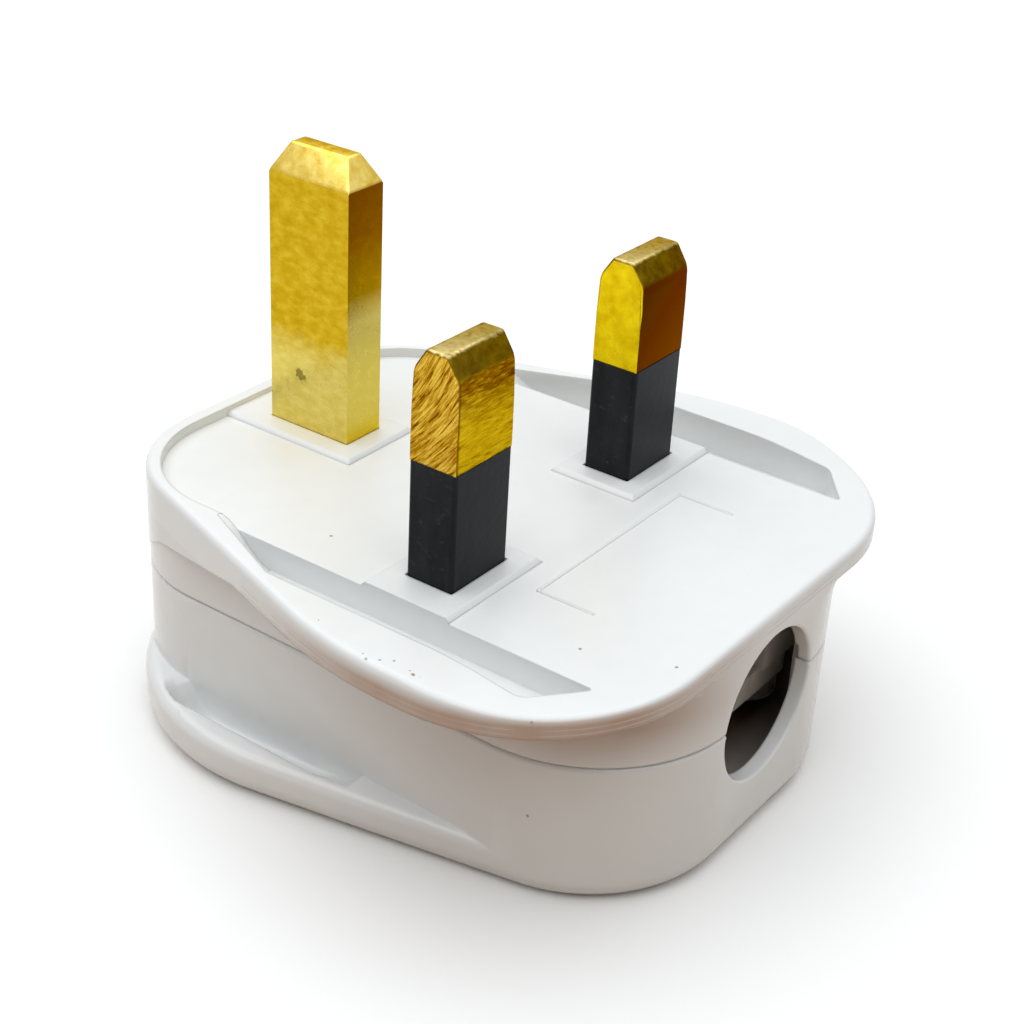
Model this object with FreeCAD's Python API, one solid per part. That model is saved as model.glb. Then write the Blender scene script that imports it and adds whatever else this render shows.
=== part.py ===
import FreeCAD, Part

import math
import os

from FreeCAD import Vector

# A rewirable 13 A three-pin mains plug, lying on its back with its pins up.
# Z = 0 is the back face, +Y points from the cable end to the earth pin, and the
# origin lies under the line that joins the live pin (-X) and the neutral pin (+X).

# Pins
pin_spacing = 22.2
earth_pin_offset = 22.2
power_pin_width = 6.35
power_pin_thickness = 4.0
power_pin_reach = 17.8
power_tip_depth = 1.7
power_tip_inset = 1.1
power_tip_round = 1.8
earth_pin_width = 8.0
earth_pin_thickness = 4.0
earth_pin_reach = 23.2
earth_tip_depth = 2.2
earth_tip_inset = 1.2
sleeve_reach = 9.2
sleeve_wall = 0.6
sleeve_proud = 0.06
sleeve_edge = 0.35

# Housing outline, measured from the line through the power pins
side_gap = 0.525
body_taper = 0.6
earth_end = 30.8
cable_end = 20.4
earth_corner = 10.2
cable_corner = 12.0
shoulder_offset = 1.8
shoulder_radius = 32.0
flange_overhang = 7.5
flange_shoulder = 0.4
flange_inset = 2.9
flange_corner = 14.0
rim_corner = 10.6
lip_angle = 11.3
lip_earth_angle = 10.9
lip_corner = 17.0
lip_overhang = 0.4

# Housing heights
face_height = 20.0
base_depth = 8.0
seam_gap = 0.2
pad_rise = 0.4
rim_rise = 0.8
flange_edge = 1.6
flange_round = 0.6
cove_height = 2.4
cove_share = 0.34
cove_mid_share = 0.06
collar_start = 12.5
collar_turn = 24.0
collar_drop = 2.6
collar_end = 29.5
seam_round = 0.3
lip_cable_height = 3.2
lip_earth_height = 4.55
lip_top_round = 1.0
lip_back_round = 2.0

# Housing walls
wall = 2.0
floor_thickness = 2.2
back_wall = 2.2
tongue_wall = 0.95
tongue_height = 1.2
fit_gap = 0.05
slack = 0.3

# Face details
rim_width = 1.5
rim_fade_start = 5.0
pad_margin = 3.9
pad_edge = 0.3
plateau_inset = 0.7
plateau_corner = 9.5
pocket_width = 4.0
pocket_depth = 2.2
pocket_start = 18.2
pocket_full = 9.2
pocket_turn = 12.9
pocket_end = 16.0
pocket_round = 1.2
pocket_point = 0.2
pocket_wall = 0.35
scoop_start = 3.0
scoop_start_level = 2.75
scoop_end = 22.4
scoop_end_level = 1.75
scoop_crest = 1.4
scoop_slant = 40.0

# Cable entry and cord grip
entry_diameter = 12.0
entry_drop = 0.6
entry_wall = 1.25
entry_relief = 1.6
grip_offset = 13.6
grip_spacing = 18.0
grip_block = 6.4
grip_block_length = 7.6
grip_length = 24.0
grip_width = 5.6
grip_thickness = 2.2
grip_dip = 0.9
grip_ridge = 1.8
grip_end_round = 2.5

# Cover screw, its retainer and its nut
screw_offset = 8.0
cover_screw_diameter = 3.9
cover_screw_head = 6.4
cover_screw_head_height = 2.2
cover_screw_inset = 0.6
counterbore_depth = 3.0
base_boss = 9.4
base_boss_drop = 4.8
retainer_diameter = 7.6
retainer_thickness = 0.8
cover_boss = 9.2
nut_diameter = 6.4
nut_length = 6.0
nut_gap = 1.2

# Terminals
terminal_depth = 7.4
neutral_block_width = 7.0
neutral_block_length = 8.0
earth_block_width = 8.0
earth_block_length = 9.6
live_block_width = 4.8
live_block_length = 4.4
live_block_depth = 6.2
wire_hole = 3.0
wire_hole_rise = 3.6
terminal_screw_diameter = 3.4
terminal_head = 5.0
terminal_head_height = 1.8
grip_screw_diameter = 2.9
grip_screw_head = 5.2
grip_screw_head_height = 1.9
grip_screw_length = 6.5
slot_width = 0.9
slot_depth = 0.8

# Fuse and its clips
fuse_length = 25.4
fuse_diameter = 6.3
cap_length = 5.6
cap_wall = 0.2
tube_bore = 3.4
fuse_room = 10.4
clip_thickness = 0.6
clip_width = 5.0
clip_mouth = 4.4
live_shoulder = 1.6
shoulder_margin = 0.9
spigot_diameter = 2.4
tail_width = 4.6
tail_margin = 0.8
terminal_step = 0.4
fuse_rib_width = 6.0
fuse_rib_thickness = 1.8

# Levels and places that follow from the sizes above
body_width = pin_spacing + power_pin_width + 2*(shoulder_margin + side_gap + wall)
flange_width = body_width + 2*flange_overhang
plateau_width = body_width - 2*plateau_inset
floor_level = face_height - pad_rise
rim_level = floor_level + rim_rise
ceiling = floor_level - floor_thickness
flange_under = floor_level - flange_edge
cove_foot = flange_under - cove_height
parting_height = face_height - base_depth
base_foot = parting_height + seam_gap/2
cover_top = parting_height - seam_gap/2
tongue_top = base_foot + tongue_height
live_x = -pin_spacing/2
neutral_x = pin_spacing/2
shoulder_level = ceiling - live_shoulder
clip_bore = fuse_diameter/2 + fit_gap
fuse_level = shoulder_level - clip_thickness - clip_bore
fuse_end = earth_end - fuse_room
fuse_start = fuse_length - fuse_end
clip_inset = (cap_length - clip_width)/2
far_clip_start = fuse_end - cap_length + clip_inset
live_block_start = fuse_end + terminal_step
live_block_top = shoulder_level - clip_thickness
grip_seat = ceiling - grip_block_length
entry_height = parting_height - entry_drop
retainer_top = ceiling - base_boss_drop
nut_top = retainer_top - retainer_thickness - nut_gap
cover_screw_end = nut_top - nut_length + cover_screw_inset


def rounded_wire(corners, level):
    """Closed wire through corners (x, y, radius): straight runs joined by tangent arcs."""
    runs = []
    for index, (x, y, radius) in enumerate(corners):
        here = Vector(x, y, level)
        before = corners[index - 1]
        after = corners[(index + 1) % len(corners)]
        back = (Vector(before[0], before[1], level) - here).normalize()
        ahead = (Vector(after[0], after[1], level) - here).normalize()
        half_angle = back.getAngle(ahead)/2
        reach = radius/math.tan(half_angle)
        inward = (back + ahead).normalize()
        middle = here + inward*(radius/math.sin(half_angle) - radius)
        runs.append((here + back*reach, middle, here + ahead*reach))
    edges = []
    for index, (start, middle, end) in enumerate(runs):
        edges.append(Part.Arc(start, middle, end).toShape())
        next_start = runs[(index + 1) % len(runs)][0]
        if (next_start - end).Length > 1e-6:
            edges.append(Part.LineSegment(end, next_start).toShape())
    return Part.Wire(edges)


def both_sides(half):
    """Full outline from the corners of its +X half, listed from the cable end to the earth end."""
    mirrored = [(-x, y, radius) for x, y, radius in reversed(half)]
    return half + mirrored


def prism(corners, bottom, top):
    """Upright solid on a rounded outline."""
    face = Part.Face(rounded_wire(corners, bottom))
    return face.extrude(Vector(0, 0, top - bottom))


def block(width, length, bottom, top, x=0.0, y=0.0):
    """Upright box centred on (x, y)."""
    corner = Vector(x - width/2, y - length/2, bottom)
    return Part.makeBox(width, length, top - bottom, corner)


def post(diameter, bottom, top, x=0.0, y=0.0):
    """Upright cylinder."""
    return Part.makeCylinder(diameter/2, top - bottom, Vector(x, y, bottom))


def corner_reach(radius, turn):
    """Distance from a corner to the start of its rounding, for a turn in degrees."""
    return radius*math.tan(math.radians(turn)/2)


def body_outline(inset=0.0):
    """Side walls of both mouldings, which narrow a little towards the earth end."""
    half = body_width/2 - inset
    return both_sides([
        (half, -cable_end + inset, cable_corner - inset),
        (half, shoulder_offset, shoulder_radius),
        (half - body_taper/2, earth_end - inset, earth_corner - inset),
    ])


def flange_outline(share=1.0):
    """Front flange: full width beside the power pins, flush with the body at the earth end."""
    half = flange_width/2
    wide = [
        (half, -cable_end, flange_corner),
        (half, flange_shoulder, shoulder_radius),
        (body_width/2 - flange_inset, earth_end, rim_corner),
    ]
    return between(body_outline(), both_sides(wide), share)


def lip_outline():
    """Back lip: flush with the body at the cable end, widest beside the earth pin."""
    earth_y = earth_end + lip_overhang
    return both_sides([
        (lip_cable_half(), -cable_end, cable_corner),
        (lip_half(shoulder_offset), shoulder_offset, shoulder_radius),
        (lip_half(earth_y), earth_y, lip_corner),
    ])


def lip_cable_half():
    """Half width of the lip at the cable end, where its rounding meets the body's."""
    return body_width/2 - cable_corner + corner_reach(cable_corner, 90 - lip_angle)


def lip_half(y):
    """Half width of the lip between its shoulder and the earth end."""
    shoulder = lip_cable_half() + (shoulder_offset + cable_end)*math.tan(math.radians(lip_angle))
    return shoulder + (y - shoulder_offset)*math.tan(math.radians(lip_earth_angle))


def between(first, second, share):
    """Outline a given share of the way from one outline to another."""
    return [tuple(a + (b - a)*share for a, b in zip(p, q)) for p, q in zip(first, second)]


def level_edges(shape, level):
    """Edges of a shape that lie wholly at one height."""
    return [edge for edge in shape.Edges
            if abs(edge.BoundBox.ZMin - level) < 1e-4 and abs(edge.BoundBox.ZMax - level) < 1e-4]


def cove(outline, steps):
    """Smooth flare through (height, share) steps of an outline."""
    wires = [rounded_wire(outline(share), level) for level, share in steps]
    return Part.makeLoft(wires, True, False)


def slotted(head, level, x, y, span):
    """Screw head with a driver slot cut from the given end level, upwards or downwards."""
    low = min(level, level + span)
    high = max(level, level + span)
    slot = block(2*terminal_head, slot_width, low, high, x, y)
    return head.cut(slot)


def entry_bore():
    """Round cable entry through the cable end, relieved inside, shared by both mouldings."""
    axis = Vector(0, 1, 0)
    start = Vector(0, -cable_end - wall, entry_height)
    bore = Part.makeCylinder(entry_diameter/2, 2*wall + slack, start, axis)
    relief_depth = wall - entry_wall + slack
    relief = block(entry_diameter + 2*entry_relief, relief_depth, back_wall, ceiling,
                   0, -cable_end + entry_wall + relief_depth/2)
    return bore.fuse(relief)


def pocket_outline(side, margin):
    """Groove between the plateau and the rim on one long side, widened by a margin."""
    inner = plateau_width/2
    outer = inner + pocket_width + margin
    corners = [
        (inner, -pocket_end - margin, pocket_point),
        (outer, -pocket_turn - margin/2, pocket_round),
        (outer, pocket_full + margin/2, pocket_round),
        (inner, pocket_start + 2*margin, pocket_point),
    ]
    if side < 0:
        corners = [(-x, y, radius) for x, y, radius in reversed(corners)]
    return corners


def pocket(side):
    """Room inside one groove."""
    return prism(pocket_outline(side, 0), floor_level - pocket_depth, rim_level + slack)


def pocket_trough(side):
    """Wall round one groove that hangs below the flange."""
    bottom = floor_level - pocket_depth - pocket_wall
    trough = prism(pocket_outline(side, pocket_wall), bottom, flange_under)
    return trough.common(prism(flange_outline(), bottom, flange_under))


def flange_slab():
    """Flange edge and rim: level beside the pins, easing down to the floor at the pockets' cable ends."""
    half_run = (pocket_end - rim_fade_start)/2
    half_drop = rim_rise/2
    radius = (half_run**2 + half_drop**2)/(2*half_drop)
    quarter_drop = radius - math.sqrt(radius**2 - (half_run/2)**2)
    side = -flange_width
    level_end = Vector(side, -rim_fade_start, rim_level)
    upper = level_end + Vector(0, -half_run/2, -quarter_drop)
    middle = level_end + Vector(0, -half_run, -half_drop)
    fade_end = Vector(side, -pocket_end, floor_level)
    lower = fade_end + Vector(0, half_run/2, quarter_drop)
    high_end = Vector(side, -cable_end - slack, floor_level)
    low_end = Vector(side, -cable_end - slack, flange_under)
    low_start = Vector(side, earth_end + slack, flange_under)
    high_start = Vector(side, earth_end + slack, rim_level)
    profile = Part.Wire([
        Part.LineSegment(high_start, level_end).toShape(),
        Part.Arc(level_end, upper, middle).toShape(),
        Part.Arc(middle, lower, fade_end).toShape(),
        Part.LineSegment(fade_end, high_end).toShape(),
        Part.LineSegment(high_end, low_end).toShape(),
        Part.LineSegment(low_end, low_start).toShape(),
        Part.LineSegment(low_start, high_start).toShape(),
    ])
    sheet = Part.Face(profile).extrude(Vector(2*flange_width, 0, 0))
    slab = sheet.common(prism(flange_outline(), flange_under - slack, rim_level + slack))
    top_edges = []
    for edge in slab.Edges:
        crossing = edge.BoundBox.XLength > flange_width/2
        if edge.BoundBox.ZMin > flange_under + slack and not crossing:
            top_edges.append(edge)
    return slab.makeFillet(flange_round, top_edges)


def collar_room():
    """Space round the earth end, under the flange and above an edge that slopes down to the parting."""
    far_y = 2*earth_end
    turn = Vector(-flange_width, collar_turn, flange_under - collar_drop)
    foot = Vector(-flange_width, collar_end, base_foot)
    side = Part.makePolygon([
        Vector(-flange_width, collar_start, flange_under),
        turn,
        foot + (foot - turn),
        Vector(-flange_width, far_y, base_foot - wall),
        Vector(-flange_width, far_y, flange_under),
        Vector(-flange_width, collar_start, flange_under),
    ])
    return Part.Face(side).extrude(Vector(2*flange_width, 0, 0))


def earth_collar():
    """Flange edge that deepens towards the earth end, where it is flush with the wall."""
    return prism(flange_outline(), base_foot, flange_under).common(collar_room())


def plateau():
    """Room above the recessed floor between the two long sides of the rim."""
    corners = both_sides([
        (plateau_width/2, -cable_end, slack),
        (plateau_width/2, earth_end - rim_width, plateau_corner),
    ])
    return prism(corners, floor_level, rim_level + slack)


def face_pads():
    """Raised flat pads round the three pins."""
    bottom = floor_level - pad_rise
    pad_inner = pin_spacing/2 - power_pin_width/2 - pad_margin/2
    pad_outer = plateau_width/2 + pad_edge
    power_width = pad_outer - pad_inner
    earth_start = earth_pin_offset - earth_pin_width/2 - pad_margin/2
    earth_length = earth_end - rim_width/2 - earth_start
    pads = [
        block(power_width, 2*pad_margin, bottom, face_height, side*(pad_inner + power_width/2), 0)
        for side in (-1, 1)
    ]
    pads.append(block(2*earth_pin_thickness, earth_length, bottom, face_height,
                      0, earth_start + earth_length/2))
    return [pad.makeChamfer(pad_edge, level_edges(pad, face_height)) for pad in pads]


def base():
    """Front moulding: pin face with its flange, pockets, pads and the bosses inside."""
    flare = cove(flange_outline, [
        (cove_foot, 0.0),
        (cove_foot + cove_height/2, cove_mid_share),
        (flange_under, cove_share),
    ]).cut(collar_room())
    skirt = prism(body_outline(), base_foot, cove_foot).cut(collar_room())
    troughs = [pocket_trough(-1), pocket_trough(1)]
    slab = flange_slab().cut(plateau())
    solid = skirt.fuse([flare, slab, earth_collar()] + troughs + face_pads())
    solid = solid.cut([pocket(-1), pocket(1)])
    cavity = prism(body_outline(wall), base_foot - slack, ceiling)
    rabbet = prism(body_outline(wall - tongue_wall - fit_gap), base_foot - slack, tongue_top)
    solid = solid.cut([cavity, rabbet])

    screw_boss = post(base_boss, retainer_top, ceiling, 0, screw_offset)
    clear_core = prism(body_outline(wall + slack), grip_seat, ceiling)
    grip_blocks = [
        block(grip_block, grip_block, grip_seat, ceiling, side*grip_spacing/2, -grip_offset)
        for side in (-1, 1)
    ]
    grip_blocks = [pillar.common(clear_core) for pillar in grip_blocks]
    live_seat = block(live_block_width, live_block_length, shoulder_level, ceiling,
                      live_x, live_block_start + live_block_length/2)
    solid = solid.fuse([screw_boss, live_seat] + grip_blocks)

    counterbore = post(cover_screw_head + 2*slack, floor_level - counterbore_depth,
                       face_height, 0, screw_offset)
    screw_hole = post(cover_screw_diameter + 2*fit_gap, parting_height - slack,
                      face_height, 0, screw_offset)
    pin_holes = [
        block(power_pin_width + 2*sleeve_proud + 2*fit_gap, power_pin_thickness + 2*sleeve_proud + 2*fit_gap,
              ceiling - slack, face_height + slack, x, 0)
        for x in (live_x, neutral_x)
    ]
    pin_holes.append(block(earth_pin_thickness + 2*fit_gap, earth_pin_width + 2*fit_gap,
                           ceiling - slack, face_height + slack, 0, earth_pin_offset))
    grip_holes = [
        post(grip_screw_diameter + 2*fit_gap, grip_seat - slack,
             grip_seat + grip_screw_length - grip_thickness + slack, side*grip_spacing/2, -grip_offset)
        for side in (-1, 1)
    ]
    solid = solid.cut([counterbore, screw_hole, entry_bore()] + pin_holes + grip_holes)
    return solid.removeSplitter()


def cover():
    """Back moulding: plain walls that flare into a finger lip round the earth end."""
    walls = prism(body_outline(), lip_back_round, cover_top)
    walls = walls.makeFillet(seam_round, level_edges(walls, cover_top))
    solid = finger_lip().fuse(walls)
    cavity = prism(body_outline(wall), back_wall, tongue_top + slack)
    tongue = prism(body_outline(wall - tongue_wall), cover_top - tongue_height, tongue_top)
    entry_gap = block(entry_diameter + 2*entry_relief + 2*slack, 3*wall, cover_top - 2*tongue_height,
                      tongue_top + slack, 0, -cable_end + wall)
    solid = solid.fuse(tongue.cut(entry_gap)).cut(cavity)

    boss = post(cover_boss, back_wall, nut_top, 0, screw_offset)
    rib_top = fuse_level - fuse_diameter/2 - slack
    rib_y = (fuse_end - fuse_start)/2
    rib = block(fuse_rib_width, fuse_rib_thickness, back_wall, rib_top, live_x, rib_y)
    solid = solid.fuse([boss, rib])
    nut_hole = post(nut_diameter + 2*fit_gap, nut_top - nut_length, nut_top + slack, 0, screw_offset)
    screw_room = post(cover_screw_diameter + 2*slack, cover_screw_end - 2*slack, nut_top, 0, screw_offset)
    solid = solid.cut([nut_hole, screw_room, entry_bore()])
    return solid.removeSplitter()


def lip_scoop(side):
    """Finger hollow on one side of the lip: a ledge that dips towards the wall, slanted at its earth end."""
    inner = body_width/2 - wall
    foot = body_width/2
    slant = math.tan(math.radians(scoop_slant))
    corners = [
        (side*inner, scoop_start),
        (side*(foot + (scoop_end - scoop_start)*slant), scoop_start),
        (side*foot, scoop_end),
        (side*inner, scoop_end),
        (side*inner, scoop_start),
    ]
    outline = Part.makePolygon([Vector(x, y, 0) for x, y in corners])
    column = Part.Face(outline).extrude(Vector(0, 0, face_height))
    crest = lip_half(scoop_end) - scoop_crest
    lean = (lip_level(scoop_end) - scoop_end_level)/(crest - foot)
    corner_start = Vector(side*foot, scoop_start, scoop_start_level)
    corner_end = Vector(side*foot, scoop_end, scoop_end_level)
    normal = (corner_end - corner_start).cross(Vector(side, 0, lean))
    if normal.z < 0:
        normal = normal*-1
    above = Part.makePlane(6*flange_width, 6*flange_width, Vector(-3*flange_width, -3*flange_width, 0))
    above = above.extrude(Vector(0, 0, 2*flange_width))
    above.Placement = FreeCAD.Placement(corner_start, FreeCAD.Rotation(Vector(0, 0, 1), normal))
    return column.common(above).cut(prism(body_outline(), -slack, face_height + slack))


def lip_level(y):
    """Height of the lip's top at one place along the plug."""
    rise = (lip_earth_height - lip_cable_height)/(earth_end + cable_end)
    return lip_cable_height + (y + cable_end)*rise


def finger_lip():
    """Lip round the back, rising gently towards the earth end, with a finger hollow on each long side."""
    back = prism(lip_outline(), 0, face_height)
    back = back.makeFillet(lip_back_round, level_edges(back, 0))
    low_y = -2*cable_end
    high_y = 2*earth_end
    above = Part.makePolygon([
        Vector(-flange_width, low_y, lip_level(low_y)),
        Vector(-flange_width, high_y, lip_level(high_y)),
        Vector(-flange_width, high_y, 2*face_height),
        Vector(-flange_width, low_y, 2*face_height),
        Vector(-flange_width, low_y, lip_level(low_y)),
    ])
    crown = prism(lip_outline(), -face_height, face_height)
    crown = crown.cut(Part.Face(above).extrude(Vector(2*flange_width, 0, 0)))
    top_edges = [edge for edge in crown.Edges
                 if edge.BoundBox.ZMin > -face_height/2 and edge.BoundBox.ZLength < face_height/2]
    crown = crown.makeFillet(lip_top_round, top_edges)
    return back.common(crown).cut([lip_scoop(-1), lip_scoop(1)])


def tapered_tip(width, thickness, bottom, top, inset_x, inset_y, depth, x, y):
    """Pin bar with sloping sides at its tip."""
    shaft = block(width, thickness, bottom, top - depth, x, y)
    foot = rectangle(width, thickness, top - depth, x, y)
    head = rectangle(width - 2*inset_x, thickness - 2*inset_y, top, x, y)
    return shaft.fuse(Part.makeLoft([foot, head], True, True)).removeSplitter()


def rounded_shoulders(bar, level, radius):
    """Pin bar with the two long edges at the foot of its tip rounded."""
    edges = [edge for edge in level_edges(bar, level) if edge.BoundBox.XLength > edge.BoundBox.YLength]
    return bar.makeFillet(radius, edges)


def rectangle(width, length, level, x, y):
    """Closed rectangular wire centred on (x, y)."""
    half_x = width/2
    half_y = length/2
    corners = [(-half_x, -half_y), (half_x, -half_y), (half_x, half_y), (-half_x, half_y), (-half_x, -half_y)]
    return Part.makePolygon([Vector(x + dx, y + dy, level) for dx, dy in corners])


def power_pin(x):
    """Live or neutral bar: bare brass tip, and a waist that the sleeve fills."""
    top = face_height + power_pin_reach
    waist_top = face_height + sleeve_reach
    bar = tapered_tip(power_pin_width, power_pin_thickness, ceiling, top,
                      0, power_tip_inset, power_tip_depth, x, 0)
    bar = rounded_shoulders(bar, top - power_tip_depth, power_tip_round)
    skin = block(power_pin_width, power_pin_thickness, ceiling, waist_top, x, 0)
    waist = block(power_pin_width - 2*sleeve_wall, power_pin_thickness - 2*sleeve_wall,
                  ceiling, waist_top, x, 0)
    return bar.cut(skin.cut(waist))


def sleeve(x):
    """Black insulating sleeve moulded on a power pin, from the moulding's inner face upwards."""
    top = face_height + sleeve_reach
    outer = block(power_pin_width + 2*sleeve_proud, power_pin_thickness + 2*sleeve_proud, ceiling, top, x, 0)
    upright = [edge for edge in outer.Edges if edge.BoundBox.ZLength > sleeve_reach]
    outer = outer.makeFillet(sleeve_edge, upright)
    inner = block(power_pin_width - 2*sleeve_wall, power_pin_thickness - 2*sleeve_wall,
                  ceiling - slack, top + slack, x, 0)
    return outer.cut(inner)


def pillar_cuts(x, y, bottom, along):
    """Wire hole and screw hole of a pillar terminal."""
    hole_level = bottom + wire_hole_rise
    reach = earth_block_length + neutral_block_length
    start = Vector(x, y, hole_level) - along*(reach/2)
    wire = Part.makeCylinder(wire_hole/2, reach, start, along)
    thread = post(terminal_screw_diameter + 2*fit_gap, bottom - slack, hole_level, x, y)
    return [wire, thread]


def neutral_pin():
    """Neutral bar and its pillar terminal, one brass piece."""
    bottom = ceiling - terminal_depth
    pillar = block(neutral_block_width, neutral_block_length, bottom, ceiling, neutral_x, 0)
    pillar = pillar.cut(pillar_cuts(neutral_x, 0, bottom, Vector(0, 1, 0)))
    return power_pin(neutral_x).fuse(pillar)


def earth_pin():
    """Earth bar and its pillar terminal, one brass piece."""
    bottom = ceiling - terminal_depth
    top = face_height + earth_pin_reach
    bar = tapered_tip(earth_pin_thickness, earth_pin_width, ceiling, top,
                      earth_tip_inset, earth_tip_inset, earth_tip_depth, 0, earth_pin_offset)
    pillar = block(earth_block_width, earth_block_length, bottom, ceiling, 0, earth_pin_offset)
    pillar = pillar.cut(pillar_cuts(0, earth_pin_offset, bottom, Vector(0, 1, 0)))
    return bar.fuse(pillar)


def live_pin():
    """Live bar with a shoulder under the face and a spigot staked to its fuse clip."""
    shoulder = block(power_pin_width + 2*shoulder_margin, power_pin_thickness + 2*shoulder_margin,
                     shoulder_level, ceiling, live_x, 0)
    spigot = post(spigot_diameter, shoulder_level - clip_thickness, shoulder_level, live_x, 0)
    return power_pin(live_x).fuse([shoulder, spigot])


def spring_clip(start, tail_end):
    """Sprung strip that grips one fuse cap, with a flat back and an open mouth."""
    axis = Vector(0, 1, 0)
    centre = Vector(live_x, start, fuse_level)
    ring = Part.makeCylinder(clip_bore + clip_thickness, clip_width, centre, axis)
    web = block(tail_width, tail_end - start, fuse_level + clip_bore, shoulder_level,
                live_x, (start + tail_end)/2)
    bore = Part.makeCylinder(clip_bore, clip_width, centre, axis)
    mouth = block(clip_mouth, clip_width, fuse_level - 2*clip_bore, fuse_level, live_x, start + clip_width/2)
    return ring.fuse(web).cut([bore, mouth])


def live_pin_clip():
    """Clip staked to the inner end of the live pin."""
    hole = post(spigot_diameter + 2*fit_gap, fuse_level, ceiling, live_x, 0)
    return spring_clip(clip_inset - fuse_start, spigot_diameter/2 + tail_margin).cut(hole)


def live_terminal_clip():
    """Clip at the far end of the fuse, with a tail staked to the live terminal."""
    tail_end = live_block_start + live_block_length
    hole = post(spigot_diameter + 2*fit_gap, fuse_level, ceiling, live_x, tail_end - live_block_length/2)
    return spring_clip(far_clip_start, tail_end).cut(hole)


def live_terminal():
    """Brass pillar that takes the live wire, hung from the tail of its clip."""
    bottom = live_block_top - live_block_depth
    y = live_block_start + live_block_length/2
    pillar = block(live_block_width, live_block_length, bottom, live_block_top, live_x, y)
    spigot = post(spigot_diameter, live_block_top, shoulder_level, live_x, y)
    return pillar.cut(pillar_cuts(live_x, y, bottom, Vector(1, 0, 0))).fuse(spigot)


def fuse_tube():
    """Ceramic barrel of the cartridge fuse, closed by its caps."""
    axis = Vector(0, 1, 0)
    start = Vector(live_x, cap_wall - fuse_start, fuse_level)
    radius = fuse_diameter/2 - cap_wall - fit_gap
    length = fuse_length - 2*cap_wall
    barrel = Part.makeCylinder(radius, length, start, axis)
    return barrel.cut(Part.makeCylinder(tube_bore/2, length, start, axis))


def fuse_cap(outer_end, inward):
    """Metal cap pressed over one end of the fuse."""
    axis = Vector(0, inward, 0)
    start = Vector(live_x, outer_end, fuse_level)
    cup = Part.makeCylinder(fuse_diameter/2, cap_length, start, axis)
    room = Part.makeCylinder(fuse_diameter/2 - cap_wall, cap_length, start + axis*cap_wall, axis)
    return cup.cut(room)


def terminal_screw(x, y, bottom):
    """Clamping screw of a pillar terminal, driven from the back."""
    head_end = bottom - terminal_head_height
    head = post(terminal_head, head_end, bottom, x, y)
    head = slotted(head, head_end, x, y, slot_depth)
    shank = post(terminal_screw_diameter, bottom, bottom + wire_hole_rise - wire_hole/2, x, y)
    return head.fuse(shank)


def cord_grip():
    """Clamp bar across the cord, bowed towards the face, held by two screws."""
    bottom = grip_seat - grip_thickness
    bar = block(grip_length, grip_width, bottom, grip_seat, 0, -grip_offset)
    upright = [edge for edge in bar.Edges if edge.BoundBox.ZLength > grip_thickness/2]
    bar = bar.makeFillet(grip_end_round, upright)
    gap = grip_spacing - grip_block
    ridge = block(gap - 2*slack, grip_ridge, grip_seat - slack, grip_seat + grip_dip, 0, -grip_offset)
    holes = [
        post(grip_screw_diameter + 2*fit_gap, bottom - slack, grip_seat + slack,
             side*grip_spacing/2, -grip_offset)
        for side in (-1, 1)
    ]
    return bar.fuse(ridge).cut(holes)


def grip_screw(side):
    """Screw that pulls one end of the clamp bar onto its block."""
    x = side*grip_spacing/2
    seat = grip_seat - grip_thickness
    head_end = seat - grip_screw_head_height
    head = post(grip_screw_head, head_end, seat, x, -grip_offset)
    head = slotted(head, head_end, x, -grip_offset, slot_depth)
    shank = post(grip_screw_diameter, seat, seat + grip_screw_length, x, -grip_offset)
    return head.fuse(shank)


def cover_screw():
    """Captive screw that pulls the cover onto the front moulding, driven from the pin face."""
    seat = floor_level - counterbore_depth
    top = seat + cover_screw_head_height
    head = slotted(post(cover_screw_head, seat, top, 0, screw_offset), top, 0, screw_offset, -slot_depth)
    shank = post(cover_screw_diameter, cover_screw_end, seat, 0, screw_offset)
    return head.fuse(shank)


def screw_retainer():
    """Fibre washer that keeps the cover screw in its boss."""
    disc = post(retainer_diameter, retainer_top - retainer_thickness, retainer_top, 0, screw_offset)
    hole = post(cover_screw_diameter + 2*fit_gap, nut_top, ceiling, 0, screw_offset)
    return disc.cut(hole)


def cover_nut():
    """Brass threaded insert in the cover's boss."""
    barrel = post(nut_diameter, nut_top - nut_length, nut_top, 0, screw_offset)
    return barrel.cut(post(cover_screw_diameter + 2*fit_gap, 0, face_height, 0, screw_offset))


block_foot = ceiling - terminal_depth
nodes = {
    "base": base(),
    "cover": cover(),
    "earth_pin": earth_pin(),
    "neutral_pin": neutral_pin(),
    "live_pin": live_pin(),
    "neutral_sleeve": sleeve(neutral_x),
    "live_sleeve": sleeve(live_x),
    "live_terminal": live_terminal(),
    "live_pin_clip": live_pin_clip(),
    "live_terminal_clip": live_terminal_clip(),
    "fuse_tube": fuse_tube(),
    "fuse_cap_pin_end": fuse_cap(-fuse_start, 1),
    "fuse_cap_terminal_end": fuse_cap(fuse_end, -1),
    "earth_terminal_screw": terminal_screw(0, earth_pin_offset, block_foot),
    "neutral_terminal_screw": terminal_screw(neutral_x, 0, block_foot),
    "live_terminal_screw": terminal_screw(live_x, live_block_start + live_block_length/2,
                                          live_block_top - live_block_depth),
    "cord_grip": cord_grip(),
    "cord_grip_screw_live_side": grip_screw(-1),
    "cord_grip_screw_neutral_side": grip_screw(1),
    "cover_screw": cover_screw(),
    "cover_screw_retainer": screw_retainer(),
    "cover_nut": cover_nut(),
}

os.makedirs("parts", exist_ok=True)
for name, shape in nodes.items():
    shape.exportStep("parts/" + name + ".step")
    print(name, len(shape.Solids), shape.isValid(), round(shape.Volume, 2))
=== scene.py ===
import math

import bmesh
import bpy
from mathutils import Matrix, Vector


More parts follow.
